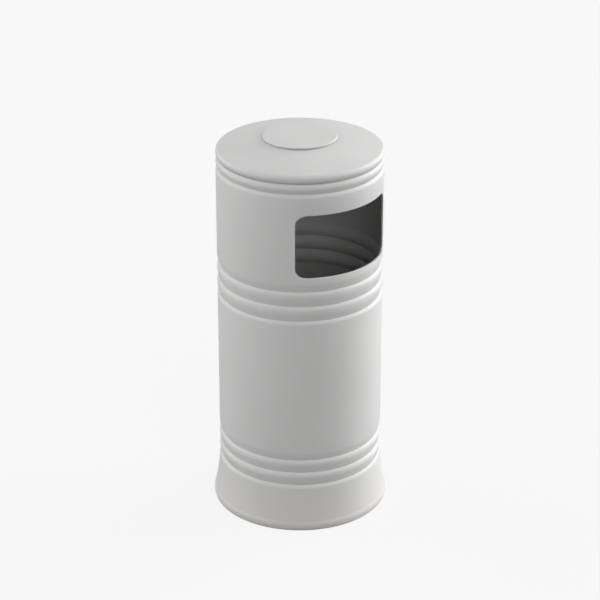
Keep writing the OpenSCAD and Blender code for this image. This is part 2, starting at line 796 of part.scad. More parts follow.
module liner_ears() {
    step_z = liner_top_z - 2 * curl_r - ear_t - 1;
    color(zinc) ear_sides() difference() {
        union() {
            translate([liner_r, -ear_w / 2, rivet_z - 12])
                cube([ear_t, ear_w, step_z + ear_t - (rivet_z - 12)]);
            translate([liner_r, -ear_w / 2, step_z]) cube([ear_x + ear_t - liner_r, ear_w, ear_t]);
            translate([ear_x, -ear_h / 2, step_z]) cube([ear_t, ear_h, bail_z - step_z]);
            along_x(ear_x, 0, bail_z) cylinder(r = ear_h / 2, h = ear_t);
        }
        along_x(ear_x - bite, 0, bail_z)
            cylinder(r = bail_d / 2 + running_room, h = ear_t + 2 * bite);
        for (y = [-rivet_y, rivet_y])
            along_x(liner_r - bite, y, rivet_z)
                cylinder(r = rivet_d / 2, h = ear_t + 2 * bite, $fn = 48);
    }
}

module ear_rivets() {
    inner_x = sqrt(pow(liner_r - liner_t, 2) - pow(rivet_y, 2)) - 0.1;
    color(steel) ear_sides() for (y = [-rivet_y, rivet_y]) {
        along_x(inner_x - 2, y, rivet_z)
            cylinder(r = rivet_d / 2, h = liner_r + ear_t + 1 - inner_x + 2, $fn = 48);
        along_x(inner_x - 2, y, rivet_z) cylinder(r = rivet_d * 0.9, h = 1.7, $fn = 48);
        along_x(liner_r + ear_t, y, rivet_z) cylinder(r = rivet_d * 0.9, h = 2, $fn = 48);
    }
}

module bail_handle() {
    pivot_end = ear_x + ear_t + side_room + 3;
    color(zinc) {
        translate([0, 0, bail_z]) rotate_extrude(angle = 180, $fn = 180)
            translate([bail_r, 0]) circle(r = bail_d / 2, $fn = 32);
        ear_sides() {
            along_x(bail_r, 0, bail_z) cylinder(r = bail_d / 2, h = pivot_end - bail_r);
            translate([bail_r, 0, bail_z]) sphere(r = bail_d / 2, $fn = 32);
            along_x(pivot_end - 3, 0, bail_z) cylinder(r = bail_d / 2 + 2, h = 3);
        }
    }
}

module bail_grip() {
    color(black) translate([0, 0, bail_z]) rotate([0, 0, 90 - grip_angle / 2])
        rotate_extrude(angle = grip_angle, $fn = 180) translate([bail_r, 0]) difference() {
            circle(r = grip_r, $fn = 32);
            circle(r = bail_d / 2, $fn = 32);
        }
}

body_shell();
base_plate();
base_screws();
base_nuts();
liner_stand();
stand_nuts();
liner_pads();
hinge_bracket();
hinge_backing_plate();
hinge_screws();
hinge_nuts();
hinge_pin();
hinge_clips();
latch_bracket();
latch_screws();
latch_spindle();
latch_cam();
latch_knob();
latch_nut();
lid();
rim_seal();
lid_hinge_leaf();
leaf_screws();
leaf_nuts();
lid_keeper();
keeper_screws();
crown_disc();
crown_gasket();
crown_studs();
crown_washers();
crown_nuts();
liner();
liner_ears();
ear_rivets();
bail_handle();
bail_grip();
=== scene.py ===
import json
import math

import bmesh
import bpy
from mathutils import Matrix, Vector


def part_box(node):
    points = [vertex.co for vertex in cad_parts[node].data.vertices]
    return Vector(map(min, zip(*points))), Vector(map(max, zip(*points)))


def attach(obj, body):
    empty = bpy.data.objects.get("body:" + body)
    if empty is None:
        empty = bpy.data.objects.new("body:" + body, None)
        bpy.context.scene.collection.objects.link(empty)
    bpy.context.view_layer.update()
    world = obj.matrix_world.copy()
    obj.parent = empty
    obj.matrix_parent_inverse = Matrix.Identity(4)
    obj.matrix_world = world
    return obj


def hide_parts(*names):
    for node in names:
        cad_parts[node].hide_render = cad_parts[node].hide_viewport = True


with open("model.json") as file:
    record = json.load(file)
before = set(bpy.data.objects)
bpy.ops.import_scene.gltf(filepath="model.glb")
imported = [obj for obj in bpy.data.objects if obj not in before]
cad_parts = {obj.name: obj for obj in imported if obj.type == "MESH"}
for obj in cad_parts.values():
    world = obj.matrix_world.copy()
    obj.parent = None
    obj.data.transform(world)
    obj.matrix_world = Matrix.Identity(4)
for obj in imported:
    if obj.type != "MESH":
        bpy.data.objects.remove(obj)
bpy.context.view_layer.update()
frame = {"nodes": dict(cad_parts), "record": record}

# ---- sizes, in metres ------------------------------------------------------
# The bin stands on the origin, its aperture faces -Y and its hinge is at +Y.

SHELL_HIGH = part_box("body_shell")[1]
LID_LOW, LID_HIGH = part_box("lid")
CROWN_LOW, CROWN_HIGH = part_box("crown_disc")
LINER_LOW, LINER_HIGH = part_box("liner")
BAIL_LOW, BAIL_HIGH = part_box("bail_handle")
GRIP_LOW, GRIP_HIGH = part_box("bail_grip")
SEAL_LOW, SEAL_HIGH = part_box("rim_seal")

FOOT_R = SHELL_HIGH.x            # outer radius of the foot, at the ground
SHELL_TOP = SHELL_HIGH.z         # the shell's rim, just under the seam
BODY_R = LID_HIGH.x              # outer radius of the straight shell and of the lid
SEAM_GAP = 0.001                 # between the shell's rim and the lid
SEAM_Z = SHELL_TOP + SEAM_GAP / 2
WALL = 0.005

LIP_H = 0.025                    # rounded lip at the foot of the skirt
LIP_SHOULDER, LIP_TUCK = 0.003, 0.0025
SKIRT_TOP_Z = 0.151              # where the flare runs out
SKIRT_FLARE = FOOT_R - BODY_R - LIP_SHOULDER
SKIRT_CURVE = 1.84               # above 1, the flare is steeper near the ground

GROOVE_DEPTH = 0.006
GROOVE_RISE, RISE_CURVE = 0.014, 3       # short rise below each groove
GROOVE_LEAN, LEAN_CURVE = 0.0245, 1.25   # long lean above each groove
ROOT_STEP = 0.0004               # the last groove's root is this much deeper, at the seam
RIB_H = 0.008                    # ribs inside the wall, behind the grooves
RIB_GAP = 0.0002                 # between two ribs
LOW_BAND_Z, LOW_PITCH = 0.1345, 0.039
TOP_PITCH, MID_PITCH = 0.029, 0.043

APERTURE_W, APERTURE_H = 0.304, 0.182
APERTURE_DROP, APERTURE_CORNER = 0.087, 0.028
APERTURE_Z = SEAM_Z - APERTURE_DROP - APERTURE_H
BAND_DROP = 0.042                # from the aperture's sill down to the first groove
MID_BAND_TOP_Z = APERTURE_Z - BAND_DROP
TOP_GROOVE_Z = SEAM_Z - TOP_PITCH

LID_Z = SEAM_Z + SEAM_GAP / 2
LID_EDGE_R, LID_SIDE_H = 0.0105, 0.0145
EDGE_Z = LID_Z + LID_SIDE_H
DOME_TILT = 78                   # degrees of the lid's rounded edge
DOME_BULGE = 0.2
DOME_START_R = BODY_R - LID_EDGE_R * (1 - math.cos(math.radians(DOME_TILT)))
DOME_START_Z = EDGE_Z + LID_EDGE_R * math.sin(math.radians(DOME_TILT))
SEAT_Z = LID_HIGH.z              # flat top of the dome, under the crown disc
SEAT_R = CROWN_HIGH.x - 0.002
CROWN_EDGE_R = 0.0025
RIM_INNER_R = BODY_R - WALL - RIB_H
RING_R, RING_T = RIM_INNER_R - 0.005, 0.004   # the lid's locating ring, inside the rim
LEAF_BEARING_H = 0.0045          # upright strip under the lid's edge, for the hinge's leaf
SMALL_EDGE = 0.0008              # chamfer of moulded corners

FLANGE_Z, FLANGE_T, FLANGE_W = 0.004, 0.005, 0.038   # inner flange of the foot

LINER_T = 0.0015
LINER_CURL = 0.0035              # radius of the liner's rolled rim
LINER_R = LINER_HIGH.x - 2 * LINER_CURL + LINER_T
LINER_TAPER = 0.013
LINER_STRAIGHT = 0.065           # upright part of the liner's wall, at the top
SWAGE_HALF, SWAGE_DEPTH = 0.009, 0.0025   # the two grooves pressed around the liner

BAIL_ROD = 0.004                 # radius of the bail's rod
BAIL_R = BAIL_HIGH.y - BAIL_ROD  # radius of the bail's bow
BAIL_Z = (BAIL_LOW.z + BAIL_HIGH.z) / 2
GRIP_R = (GRIP_HIGH.z - GRIP_LOW.z) / 2
GRIP_ANGLE = math.radians(36)    # share of the bow that the grip covers

AROUND = 240                     # steps in one turn of a spun piece


# ---- modelling helpers -----------------------------------------------------

def deselect_all():
    """Leaves no object selected."""
    bpy.ops.object.select_all(action="DESELECT")


def select_only(piece):
    """Selects one piece and makes it the active one."""
    deselect_all()
    piece.select_set(True)
    bpy.context.view_layer.objects.active = piece


def edit(piece):
    """Opens one piece in edit mode, with nothing in it selected."""
    select_only(piece)
    bpy.ops.object.mode_set(mode="EDIT")
    bpy.ops.mesh.select_mode(type="VERT")
    bpy.ops.mesh.select_all(action="DESELECT")


def smoothed(piece, smooth_angle=32):
    """Shades the piece smooth, except at edges sharper than the angle."""
    select_only(piece)
    bpy.ops.object.shade_smooth_by_angle(angle=math.radians(smooth_angle))
    deselect_all()


def leave_edit(piece, smooth_angle=32):
    """Closes edit mode and shades the piece smooth."""
    bpy.ops.object.mode_set(mode="OBJECT")
    smoothed(piece, smooth_angle)


def added(name):
    """Names the primitive that was just added."""
    piece = bpy.context.object
    piece.name = name
    piece.data.name = name
    return piece


def place_in_mesh(piece):
    """Moves a piece's place, turn and size from its object into its mesh."""
    select_only(piece)
    bpy.ops.object.transform_apply(location=True, rotation=True, scale=True)
    deselect_all()


def first_point(name, point):
    """A mesh of a single vertex at a point, selected in edit mode."""
    deselect_all()
    bpy.ops.mesh.primitive_plane_add(size=0.001, location=(0, 0, 0))
    piece = added(name)
    bpy.ops.object.mode_set(mode="EDIT")
    bpy.ops.mesh.select_mode(type="VERT")
    bpy.ops.mesh.select_all(action="SELECT")
    bpy.ops.mesh.merge(type="CENTER")
    bpy.ops.transform.translate(value=point)
    return piece


def turned(name, outline, steps=AROUND, smooth_angle=32):
    """A piece turned on the bin's axis from a closed outline of (radius, height) points."""
    points = [Vector((r, 0, z)) for r, z in outline]
    piece = first_point(name, points[0])
    for start, end in zip(points, points[1:]):
        bpy.ops.mesh.extrude_region_move(TRANSFORM_OT_translate={"value": end - start})
    on_axis = abs(points[0].x) < 1e-9 and abs(points[-1].x) < 1e-9
    if not on_axis:
        bpy.ops.mesh.extrude_region_move(TRANSFORM_OT_translate={"value": points[0] - points[-1]})
    bpy.ops.mesh.select_all(action="SELECT")
    bpy.ops.mesh.spin(steps=steps, angle=math.tau, center=(0, 0, 0), axis=(0, 0, 1))
    bpy.ops.mesh.select_all(action="SELECT")
    bpy.ops.mesh.remove_doubles(threshold=1e-5)
    bpy.ops.mesh.select_all(action="SELECT")
    bpy.ops.mesh.normals_make_consistent(inside=False)
    leave_edit(piece, smooth_angle)
    return piece


def block(name, low, high):
    """A box between two corners, as a start or as a cutter."""
    low, high = Vector(low), Vector(high)
    deselect_all()
    bpy.ops.mesh.primitive_cube_add(size=1, location=(low + high) / 2, scale=high - low)
    piece = added(name)
    place_in_mesh(piece)
    return piece


def cylinder(name, radius, start, end, sides=48):
    """A cylinder between two points, as a cutter."""
    start, end = Vector(start), Vector(end)
    along = end - start
    deselect_all()
    bpy.ops.mesh.primitive_cylinder_add(vertices=sides, radius=radius, depth=along.length,
                                        location=(start + end) / 2,
                                        rotation=along.to_track_quat("Z", "Y").to_euler())
    piece = added(name)
    place_in_mesh(piece)
    return piece


def pick_edges(piece, wanted):
    """Selects, in edit mode, the edges for which wanted(edge) is true."""
    mesh = bmesh.from_edit_mesh(piece.data)
    bpy.ops.mesh.select_all(action="DESELECT")
    bpy.ops.mesh.select_mode(type="EDGE")
    for e in mesh.edges:
        e.select_set(wanted(e))
    mesh.select_flush_mode()
    bmesh.update_edit_mesh(piece.data)


def apply_modifier(piece, modifier):
    """Makes one modifier's result the piece's own mesh."""
    select_only(piece)
    bpy.ops.object.modifier_apply(modifier=modifier.name)


def merged_with(piece, tool, operation):
    """Cuts a tool piece out of another, or joins it on, and removes the tool."""
    change = piece.modifiers.new("change", "BOOLEAN")
    change.operation = operation
    change.object = tool
    change.solver = "EXACT"
    apply_modifier(piece, change)
    bpy.data.objects.remove(tool)


def edge_angle(e):
    """Angle between an edge's two faces, or 0 at an open edge."""
    return e.calc_face_angle(0) if len(e.link_faces) == 2 else 0


def finished(piece, body, material, slot, *nodes):
    """Gives a piece its material and its body, and hides the nodes it stands for; the slot is not used."""
    piece.data.materials.clear()
    piece.data.materials.append(material)
    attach(piece, body)
    if nodes:
        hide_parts(*nodes)


# ---- outlines --------------------------------------------------------------

def skirt_radius(z):
    """Radius of the shell's outside at a height, without its grooves."""
    if z >= SKIRT_TOP_Z:
        return BODY_R
    share = (SKIRT_TOP_Z - z) / (SKIRT_TOP_Z - LIP_H)
    return BODY_R + SKIRT_FLARE * share ** SKIRT_CURVE


def quarter(steps, start=0.0, end=90.0):
    """Angles of an arc in radians, both ends included."""
    return [math.radians(start + (end - start) * i / steps) for i in range(steps + 1)]


def groove_below(z, skipped=0, steps=10):
    """The short rise below a groove, from the bead's face up to the groove."""
    points = []
    for i in range(skipped, steps + 1):
        t = i / steps
        h = z - GROOVE_RISE * (1 - t)
        points.append((skirt_radius(h) - GROOVE_DEPTH * t ** RISE_CURVE, h))
    return points


def groove_above(z, lean, steps=10):
    """The long lean above a groove, from just above the groove up to the bead's face."""
    points = []
    for i in range(1, steps + 1):
        t = 1 - i / steps
        h = z + lean * (1 - t)
        points.append((skirt_radius(h) - GROOVE_DEPTH * t ** LEAN_CURVE, h))
    return points


def groove(z, lean=GROOVE_LEAN):
    """One groove between two convex beads, from below it to above it."""
    return groove_below(z) + groove_above(z, lean)


def rib(z, pitch, top=1.0, steps=16):
    """One rib with a round section on the inside of the wall, from its top to its bottom."""
    round_r = (RIB_H ** 2 + pitch ** 2 / 4) / (2 * RIB_H)
    points = []
    for i in range(steps + 1):
        h = (top - (1 + top) * i / steps) * pitch / 2
        stands_out = math.sqrt(round_r ** 2 - h ** 2) - round_r + RIB_H
        points.append((skirt_radius(z + h) - WALL - max(stands_out, 0), z + h))
    return points


def lip_outside(steps=8):
    """The rounded lip at the ground, from the ground up to the end of the flare."""
    below = [1 - i / steps for i in range(steps)]
    above = [i / steps for i in range(steps + 1)]
    points = [(FOOT_R - LIP_TUCK * t ** 2.5, LIP_H * (1 - t) / 2) for t in below]
    return points + [(FOOT_R - LIP_SHOULDER * t ** 2, LIP_H * (1 + t) / 2) for t in above]


def shell_outline():
    """The shell's section: up the outside, then down the inside past the ribs to the flange."""
    low_bands = [LOW_BAND_Z + i * LOW_PITCH for i in range(3)]
    mid_bands = [MID_BAND_TOP_Z - i * MID_PITCH for i in (2, 1, 0)]
    flare_from, flare_to, flare_steps = LIP_H + 0.004, LOW_BAND_Z - GROOVE_RISE, 16
    outside = lip_outside()
    for i in range(flare_steps):
        z = flare_from + (flare_to - flare_from) * i / flare_steps
        outside.append((skirt_radius(z), z))
    for z in low_bands + mid_bands:
        outside += groove(z)
    outside += groove(TOP_GROOVE_Z, TOP_PITCH - GROOVE_RISE)
    outside += groove_below(SHELL_TOP, skipped=1)[:-1]
    outside.append((BODY_R - GROOVE_DEPTH - ROOT_STEP, SHELL_TOP))
    inside = rib(SHELL_TOP, TOP_PITCH - SEAM_GAP, top=0, steps=8)
    inside[0] = (inside[0][0] + 0.0006, SHELL_TOP)
    inside += rib(TOP_GROOVE_Z, TOP_PITCH - RIB_GAP)
    for z in reversed(mid_bands):
        inside += rib(z, MID_PITCH - RIB_GAP)
    for z in reversed(low_bands):
        inside += rib(z, LOW_PITCH - RIB_GAP)
    inside_top = LOW_BAND_Z - LOW_PITCH / 2
    for i in range(1, 7):
        z = inside_top + (LIP_H - inside_top) * i / 6
        inside.append((skirt_radius(z) - WALL, z))
    flange_r = FOOT_R - WALL - FLANGE_W
    inside += [(FOOT_R - WALL - 0.0015, FLANGE_Z + FLANGE_T), (flange_r, FLANGE_Z + FLANGE_T),
               (flange_r, FLANGE_Z), (FOOT_R - WALL, FLANGE_Z), (FOOT_R - WALL, 0)]
    return outside + inside


def dome_height(radius):
    """Height of the dome's outside between its rounded edge and its seat."""
    t = (DOME_START_R - radius) / (DOME_START_R - SEAT_R)
    return DOME_START_Z + (SEAT_Z - DOME_START_Z) * (t + DOME_BULGE * t * (1 - t))


def lid_outline(slope_steps=22):
    """The lid's section: over the dome to the axis, then back under it around the ring."""
    ring_r = RING_R - RING_T
    slope = [DOME_START_R + (SEAT_R - DOME_START_R) * i / slope_steps for i in range(slope_steps + 1)]
    outside = [(BODY_R - GROOVE_DEPTH - ROOT_STEP, LID_Z)]
    outside += groove_above(LID_Z, LID_SIDE_H - LEAF_BEARING_H)
    for a in quarter(10, 0, DOME_TILT - 4):
        outside.append((BODY_R - LID_EDGE_R * (1 - math.cos(a)), EDGE_Z + LID_EDGE_R * math.sin(a)))
    outside += [(r, dome_height(r)) for r in slope]
    outside += [(SEAT_R - 0.006, SEAT_Z), (0, SEAT_Z)]
    inside = [(0, SEAT_Z - WALL)]
    inside += [(r, dome_height(r) - WALL) for r in reversed(slope) if r < ring_r - 0.001]
    inside += [(ring_r, dome_height(ring_r) - WALL), (ring_r, LID_LOW.z + SMALL_EDGE),
               (ring_r + SMALL_EDGE, LID_LOW.z), (RING_R - SMALL_EDGE, LID_LOW.z),
               (RING_R, LID_LOW.z + SMALL_EDGE),
               (RING_R, dome_height(RING_R) - WALL), (DOME_START_R, DOME_START_Z - WALL),
               (BODY_R - WALL, EDGE_Z - 0.002), (RIM_INNER_R + 0.002, LID_Z + 0.004),
               (RIM_INNER_R + 0.001, LID_Z)]
    return outside + inside


def crown_outline():
    """The raised disc: flat, with a small edge below and a rounder one above."""
    low, high, radius = CROWN_LOW.z, CROWN_HIGH.z, CROWN_HIGH.x
    points = [(0, low), (radius - SMALL_EDGE, low), (radius - SMALL_EDGE / 4, low + SMALL_EDGE / 4),
              (radius, low + SMALL_EDGE)]
    for a in quarter(6):
        points.append((radius - CROWN_EDGE_R * (1 - math.cos(a)),
                       high - CROWN_EDGE_R * (1 - math.sin(a))))
    return points + [(0, high)]


def liner_outline():
    """The galvanised bucket: tapered wall, two swages, rolled rim and a turned-in bottom seam."""
    foot_r = LINER_R - LINER_TAPER
    bottom, top = LINER_LOW.z, LINER_HIGH.z
    turn_z = top - LINER_STRAIGHT
    swages = [bottom + share * (turn_z - bottom) for share in (0.30, 0.72)]

    def wall_radius(z):
        """Radius of the wall's outside at a height."""
        share = min(1.0, (z - bottom) / (turn_z - bottom))
        radius = foot_r + LINER_TAPER * share
        for middle in swages:
            if abs(z - middle) < SWAGE_HALF:
                radius -= SWAGE_DEPTH * math.cos((z - middle) / SWAGE_HALF * math.pi / 2) ** 2
        return radius

    heights = [bottom + 0.003, bottom + 0.012]
    for middle in swages:
        heights += [middle + SWAGE_HALF * (i / 5 - 1) for i in range(11)]
    heights += [turn_z, top - 3 * LINER_CURL]
    outer = [(wall_radius(z), z) for z in heights]
    inner = [(r - LINER_T, z) for r, z in reversed(outer)]
    curl_r, curl_z = LINER_R + LINER_CURL - LINER_T, top - LINER_CURL
    curl = [(LINER_R, curl_z - LINER_CURL * 0.94)] + [
        (curl_r + LINER_CURL * math.cos(a), curl_z + LINER_CURL * math.sin(a))
        for a in quarter(20, -110, 180)]
    foot = [(0, bottom), (foot_r - 0.0015, bottom), (foot_r - 0.0003, bottom + 0.0006)]
    inside_floor = [(foot_r - LINER_T - 0.0015, bottom + LINER_T), (0, bottom + LINER_T)]
    return foot + outer + curl + inner[:-1] + inside_floor


def seal_outline():
    """The rubber seal: a band around the locating ring with two soft lips."""
    band, web = 0.0012, 0.0014
    front, low = SEAL_HIGH.x, SEAL_LOW.z
    height = SEAL_HIGH.z - low
    points = [(RING_R, low), (RING_R + band, low)]
    for root in (0.16, 0.56):
        points += [(RING_R + web, low + root * height), (front, low + (root + 0.12) * height),
                   (front, low + (root + 0.19) * height), (RING_R + web, low + (root + 0.27) * height)]
    return points + [(RING_R + band, SEAL_HIGH.z), (RING_R, SEAL_HIGH.z)]


def grip_outline(rings=11):
    """The grip, straight: a sleeve over the bail's rod with a row of finger rings."""
    half = BAIL_R * GRIP_ANGLE / 2
    chamfer, collar, plain = 0.0015, 0.005, 0.006
    valley_r, flank_r = GRIP_R - 0.0014, GRIP_R - 0.0004
    step = 2 * (half - plain) / rings
    points = [(BAIL_ROD, -half), (GRIP_R - chamfer, -half), (GRIP_R, -half + chamfer),
              (GRIP_R, -half + collar)]
    for i in range(rings):
        start = -half + plain + i * step
        points += [(valley_r, start + 0.10 * step), (flank_r, start + 0.30 * step),
                   (GRIP_R, start + 0.55 * step), (flank_r, start + 0.80 * step)]
    return points + [(valley_r, half - plain), (GRIP_R, half - collar), (GRIP_R, half - chamfer),
                     (GRIP_R - chamfer, half), (BAIL_ROD, half)]


# ---- materials -------------------------------------------------------------

def new_material(name):
    """A material, its node tree and the shader that comes with it."""
    material = bpy.data.materials.new(name)
    material.use_nodes = True
    tree = material.node_tree
    shader = tree.nodes["Principled BSDF"]
    return material, tree, shader


def add(tree, kind, **settings):
    """Adds a node and sets its inputs by name, or its properties."""
    node = tree.nodes.new(kind)
    for key, value in settings.items():
        if key in node.inputs:
            node.inputs[key].default_value = value
        else:
            setattr(node, key, value)
    return node


def coordinates(tree, scale=(1, 1, 1)):
    """The piece's own coordinates, stretched by a scale."""
    place = add(tree, "ShaderNodeTexCoord")
    mapping = add(tree, "ShaderNodeMapping", Scale=scale)
    tree.links.new(place.outputs["Object"], mapping.inputs["Vector"])
    return mapping.outputs["Vector"]


def noise(tree, vector, size, detail=3.0, roughness=0.55):
    """Noise whose features are about size metres across."""
    node = add(tree, "ShaderNodeTexNoise", Scale=1 / size, Detail=detail, Roughness=roughness)
    tree.links.new(vector, node.inputs["Vector"])
    return node.outputs["Fac"]


def ranged(tree, value, low, high, start=0.3, end=0.7):
    """Maps a value between start and end onto low to high."""
    node = add(tree, "ShaderNodeMapRange")
    for key, number in (("From Min", start), ("From Max", end), ("To Min", low), ("To Max", high)):
        node.inputs[key].default_value = number
    tree.links.new(value, node.inputs["Value"])
    return node.outputs["Result"]


def blended(tree, share, first, second):
    """A colour between two colours, or between a colour and a node's colour."""
    node = add(tree, "ShaderNodeMix", data_type="RGBA")
    tree.links.new(share, node.inputs["Factor"])
    for socket, colour in ((node.inputs[6], first), (node.inputs[7], second)):
        if isinstance(colour, tuple):
            socket.default_value = (*colour, 1)
        else:
            tree.links.new(colour, socket)
    return node.outputs[2]


def bumped(tree, shader, height, depth, strength=1.0, under=None):
    """Bump of a real depth in metres, over another bump if one is given."""
    node = add(tree, "ShaderNodeBump", Strength=strength, Distance=depth)
    tree.links.new(height, node.inputs["Height"])
    if under is not None:
        tree.links.new(under, node.inputs["Normal"])
    tree.links.new(node.outputs["Normal"], shader.inputs["Normal"])
    return node.outputs["Normal"]


def shell_plastic(name="shell_plastic", tone=1.0):
    """Light grey moulded plastic with a fine matte grain and faint mottling, turning darker and browner
    towards the foot with dust and painted shade.
    """
    material, tree, shader = new_material(name)
    place = coordinates(tree)
    mottle = noise(tree, place, 0.16, detail=4)
    specks = noise(tree, place, 0.004, detail=2)
    grain = noise(tree, place, 0.0012, detail=2)
    colour = blended(tree, ranged(tree, mottle, 0, 1), (0.568, 0.568, 0.564), (0.592, 0.592, 0.588))
    colour = blended(tree, ranged(tree, specks, 0, 0.2, 0.35, 0.75), colour, (0.53, 0.53, 0.524))
    # Towards the foot, below 0.16 m, the colour turns darker and browner: partly dust, partly painted shade
    # near the ground.
    height = add(tree, "ShaderNodeSeparateXYZ")
    tree.links.new(place, height.inputs["Vector"])
    dust = ranged(tree, height.outputs["Z"], 0.8, 0, 0.0, 0.16)
    colour = blended(tree, dust, colour, (0.560, 0.545, 0.528))
    # Below a tone of 1, a mottled share of near black darkens the plastic: painted shade, used for the
    # inside of the bin.
    if tone < 1:
        colour = blended(tree, ranged(tree, mottle, 0.95 - tone, 1.05 - tone), colour, (0.02, 0.02, 0.02))
    tree.links.new(colour, shader.inputs["Base Color"])
    tree.links.new(ranged(tree, mottle, 0.48, 0.60), shader.inputs["Roughness"])
    shader.inputs["Specular IOR Level"].default_value = 0.35
    peel = noise(tree, place, 0.006, detail=2)
    soft = bumped(tree, shader, peel, 0.00010, 0.5)
    bumped(tree, shader, grain, 0.00006, 0.6, under=soft)
    return material


def galvanised_steel():
    """Hot-dip zinc: dull metal with a spangle of flat crystals."""
    material, tree, shader = new_material("galvanised_steel")
    place = coordinates(tree)
    cells = add(tree, "ShaderNodeTexVoronoi", Scale=95.0, Randomness=1.0)
    warp = noise(tree, place, 0.02, detail=3)
    shift = add(tree, "ShaderNodeVectorMath", operation="SCALE", Scale=0.012)
    tree.links.new(warp, shift.inputs[0])
    moved = add(tree, "ShaderNodeVectorMath", operation="ADD")
    tree.links.new(place, moved.inputs[0])
    tree.links.new(shift.outputs["Vector"], moved.inputs[1])
    tree.links.new(moved.outputs["Vector"], cells.inputs["Vector"])
    tone = add(tree, "ShaderNodeSeparateColor")
    tree.links.new(cells.outputs["Color"], tone.inputs["Color"])
    haze = noise(tree, place, 0.07, detail=4)
    colour = blended(tree, tone.outputs[0], (0.30, 0.31, 0.32), (0.44, 0.46, 0.47))
    colour = blended(tree, ranged(tree, haze, 0, 0.5), colour, (0.33, 0.33, 0.33))
    tree.links.new(colour, shader.inputs["Base Color"])
    tree.links.new(ranged(tree, tone.outputs[1], 0.32, 0.52, 0, 1), shader.inputs["Roughness"])
    shader.inputs["Metallic"].default_value = 0.85
    bumped(tree, shader, noise(tree, place, 0.003, detail=3), 0.00008, 0.5)
    return material


def brushed(name, tint, low, high):
    """Steel brushed along the pieces' own X, with faint wear in its gloss."""
    material, tree, shader = new_material(name)
    lines = noise(tree, coordinates(tree, (0.04, 1, 1)), 0.0006, detail=3)
    wear = noise(tree, coordinates(tree), 0.012, detail=3)
    dark = tuple(0.86 * c for c in tint)
    tree.links.new(blended(tree, ranged(tree, lines, 0, 1), dark, tint), shader.inputs["Base Color"])
    tree.links.new(ranged(tree, wear, low, high), shader.inputs["Roughness"])
    shader.inputs["Metallic"].default_value = 1.0
    bumped(tree, shader, lines, 0.00002, 0.5)
    return material


def dark_plain(name, tint, size, low, high, depth):
    """Dark rubber or plastic with a fine grain."""
    material, tree, shader = new_material(name)
    place = coordinates(tree)
    dust = noise(tree, place, 0.01, detail=4)
    pale = tuple(c + 0.025 for c in tint)
    tree.links.new(blended(tree, ranged(tree, dust, 0, 1), tint, pale), shader.inputs["Base Color"])
    tree.links.new(ranged(tree, dust, low, high), shader.inputs["Roughness"])
    bumped(tree, shader, noise(tree, place, size, detail=2), depth, 0.7)
    return material


def floor_material():
    """Pale, evenly lit studio floor, which throws little light back up at the bin."""
    material, tree, shader = new_material("floor_paper")
    shader.inputs["Base Color"].default_value = (0.30, 0.30, 0.30, 1)
    shader.inputs["Roughness"].default_value = 0.9
    shader.inputs["Specular IOR Level"].default_value = 0.1
    glow = add(tree, "ShaderNodeEmission", Strength=0.94)
    paper = add(tree, "ShaderNodeBsdfDiffuse", Color=(0.85, 0.85, 0.85, 1))
    bright = add(tree, "ShaderNodeMixShader", Fac=0.10)
    tree.links.new(glow.outputs["Emission"], bright.inputs[1])
    tree.links.new(paper.outputs["BSDF"], bright.inputs[2])
    rays = add(tree, "ShaderNodeLightPath")
    either = add(tree, "ShaderNodeMixShader")
    tree.links.new(rays.outputs["Is Camera Ray"], either.inputs["Fac"])
    tree.links.new(shader.outputs["BSDF"], either.inputs[1])
    tree.links.new(bright.outputs["Shader"], either.inputs[2])
    tree.links.new(either.outputs["Shader"], tree.nodes["Material Output"].inputs["Surface"])
    return material


# ---- pieces ----------------------------------------------------------------

def aperture_cutter():
    """Rounded block that passes through the front wall."""
    half = APERTURE_W / 2
    cutter = block("aperture_cutter", (-half, -FOOT_R - 0.02, APERTURE_Z),
                   (half, -0.02, APERTURE_Z + APERTURE_H))
    edit(cutter)
    pick_edges(cutter, lambda e: abs((e.verts[0].co - e.verts[1].co).normalized().y) > 0.9)
    bpy.ops.mesh.bevel(offset=APERTURE_CORNER, segments=14, affect="EDGES")
    leave_edit(cutter)
    return cutter


def on_aperture(e):
    """True for the sharp edges around the aperture."""
    margin = 0.0005
    for v in e.verts:
        x, y, z = v.co
        if abs(x) > APERTURE_W / 2 + margin or y > -0.1:
            return False
        if not APERTURE_Z - margin < z < APERTURE_Z + APERTURE_H + margin:
            return False
    return edge_angle(e) > math.radians(50)


def add_latch_pad(shell):
    """Joins on the thick pad inside the front wall that the latch is screwed to."""
    plate_low, plate_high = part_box("latch_bracket")
    spindle_low, spindle_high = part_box("latch_spindle")
    face = plate_low.y
    pad = block("latch_pad", (plate_low.x, -(BODY_R - WALL) - 0.001, plate_low.z),
                (plate_high.x, face, plate_high.z))
    merged_with(shell, pad, "UNION")
    middle_z = (spindle_low.z + spindle_high.z) / 2
    pocket = cylinder("spindle_pocket", spindle_high.x + 0.0006, (0, spindle_low.y - 0.0003, middle_z),
                      (0, face + 0.002, middle_z))
    merged_with(shell, pocket, "DIFFERENCE")


def paint_shade_inside(piece, painted_shade_plastic):
    """Gives the faces that look inwards the darker copy of the plastic, as painted shade inside the bin."""
    piece.data.materials.append(painted_shade_plastic)
    for face in piece.data.polygons:
        outward = Vector((face.center.x, face.center.y, 0)).normalized()
        if face.normal.dot(outward) < -0.15:
            face.material_index = 1


def make_shell(plastic, painted_shade_plastic):
    """The moulded outer shell, with its bands, its flared foot and its aperture."""
    shell = turned("body_shell_moulding", shell_outline())
    add_latch_pad(shell)
    merged_with(shell, aperture_cutter(), "DIFFERENCE")
    edit(shell)
    bpy.ops.mesh.select_all(action="SELECT")
    bpy.ops.mesh.remove_doubles(threshold=2e-5)
    pick_edges(shell, on_aperture)
    bpy.ops.mesh.bevel(offset=0.0012, segments=3, affect="EDGES", clamp_overlap=True)
    leave_edit(shell)
    finished(shell, "body", plastic, "shell_plastic", "body_shell")
    paint_shade_inside(shell, painted_shade_plastic)


